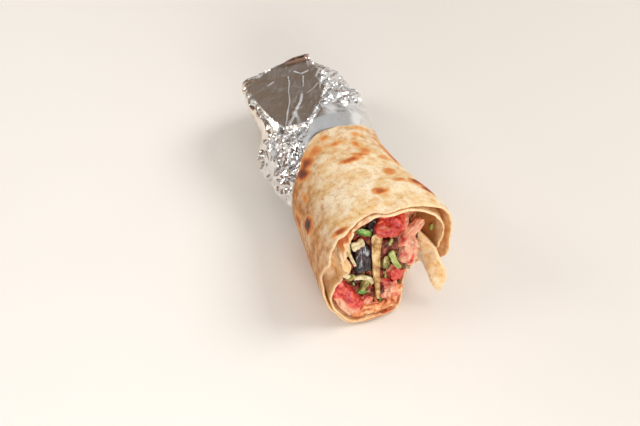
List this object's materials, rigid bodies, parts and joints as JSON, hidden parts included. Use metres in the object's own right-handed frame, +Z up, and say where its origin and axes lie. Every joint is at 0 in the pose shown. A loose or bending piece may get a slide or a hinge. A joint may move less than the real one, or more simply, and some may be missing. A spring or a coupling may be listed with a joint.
{
  "type": "paratha wrap",
  "caption": "Rolled flaky flatbread wrap filled with red spiced chicken, onion and greens, its closed end in crumpled foil.",
  "frame": {"origin": "centre of the underside of the box round the whole wrap, on the surface it lies on", "axes": "+Z up; -Y from the foil end to the open mouth, along the roll; +X to the right when facing the mouth"},
  "size_m": [0.077, 0.187, 0.0725],
  "materials": {
    "bread": "flaky baked flatbread, cream with toasted brown spots",
    "foil": "thin crumpled household foil, bright",
    "filling": "dark moist sauce-coated filling",
    "chicken": "moist spiced chicken, red outside and pale inside",
    "charred": "glossy charred vegetable skin",
    "tomato": "glossy cooked tomato",
    "herb": "soft green herb and green chilli",
    "pepper": "cooked green pepper, olive",
    "onion": "soft translucent cooked onion"
  },
  "bodies": {
    "root": {"paratha": "bread", "foil": "foil", "filling": "filling", "chicken_top": "chicken", "chicken_shred": "chicken", "chicken_right": "chicken", "chicken_dark": "chicken", "chicken_low": "chicken", "chicken_front": "chicken", "chicken_lump": "chicken", "chicken_big": "chicken", "dark_piece": "charred", "red_piece": "tomato", "green_leaf": "herb", "green_stick": "herb", "pepper_low": "pepper", "onion_strip": "onion", "onion_slice": "onion", "onion_strand": "onion"}
  },
  "joints": []
}
